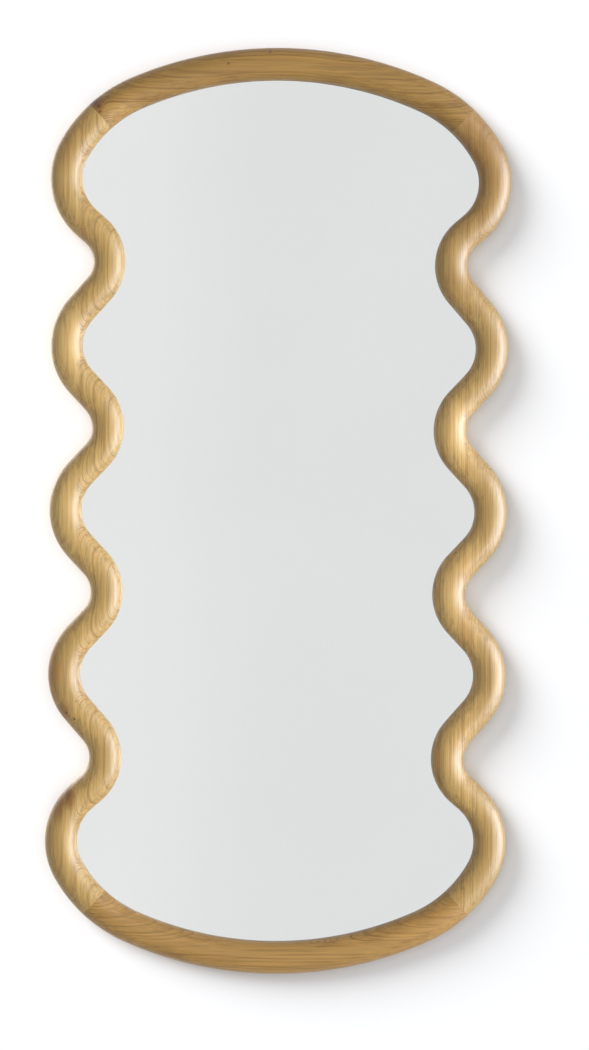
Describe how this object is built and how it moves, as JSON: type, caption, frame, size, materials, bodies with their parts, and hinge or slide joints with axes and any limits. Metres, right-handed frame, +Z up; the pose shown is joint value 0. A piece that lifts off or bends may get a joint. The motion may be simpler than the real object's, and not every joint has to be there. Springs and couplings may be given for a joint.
{
  "type": "wall mirror",
  "caption": "Tall wall mirror in a solid wood frame with waved sides, shallow curved top and bottom, a silvered glass cut to the waved outline, a screwed backing board and two D-ring hangers.",
  "frame": {"origin": "on the wall plane, behind the middle of the mirror", "axes": "+X to the right seen from the front, +Y into the wall, +Z up"},
  "size_m": [0.6078, 0.038, 1.2198],
  "materials": {
    "frame_wood": "satin clear lacquer over honey-coloured solid wood",
    "dowel_wood": "plain fluted beech dowel",
    "silvered_glass": "float glass silvered on the back, ground edge",
    "hardboard": "smooth brown hardboard",
    "zinc_steel": "bright zinc plating",
    "soft_rubber": "matt"
  },
  "bodies": {
    "frame": {"top_rail": "frame_wood", "bottom_rail": "frame_wood", "left_stile_inner_board": "frame_wood", "right_stile_inner_board": "frame_wood", "left_stile_outer_lobes": "frame_wood", "right_stile_outer_lobes": "frame_wood", "corner_dowels": "dowel_wood", "mirror_glass": "silvered_glass", "backing_board": "hardboard", "backing_screws": "zinc_steel", "left_hanger_strap": "zinc_steel", "right_hanger_strap": "zinc_steel", "left_hanger_screws": "zinc_steel", "right_hanger_screws": "zinc_steel", "left_wall_bumper": "soft_rubber", "right_wall_bumper": "soft_rubber"},
    "left_ring": {"left_hanger_ring": "zinc_steel"},
    "right_ring": {"right_hanger_ring": "zinc_steel"}
  },
  "joints": [
    {"name": "left_ring_swing", "type": "hinge", "parent": "frame", "child": "left_ring", "pos_m": [-0.2875, -0.00345, 0.446], "axis": [-1, 0, 0], "range_deg": [0, 182]},
    {"name": "right_ring_swing", "type": "hinge", "parent": "frame", "child": "right_ring", "pos_m": [0.2875, -0.00345, 0.446], "axis": [-1, 0, 0], "range_deg": [0, 182]}
  ]
}
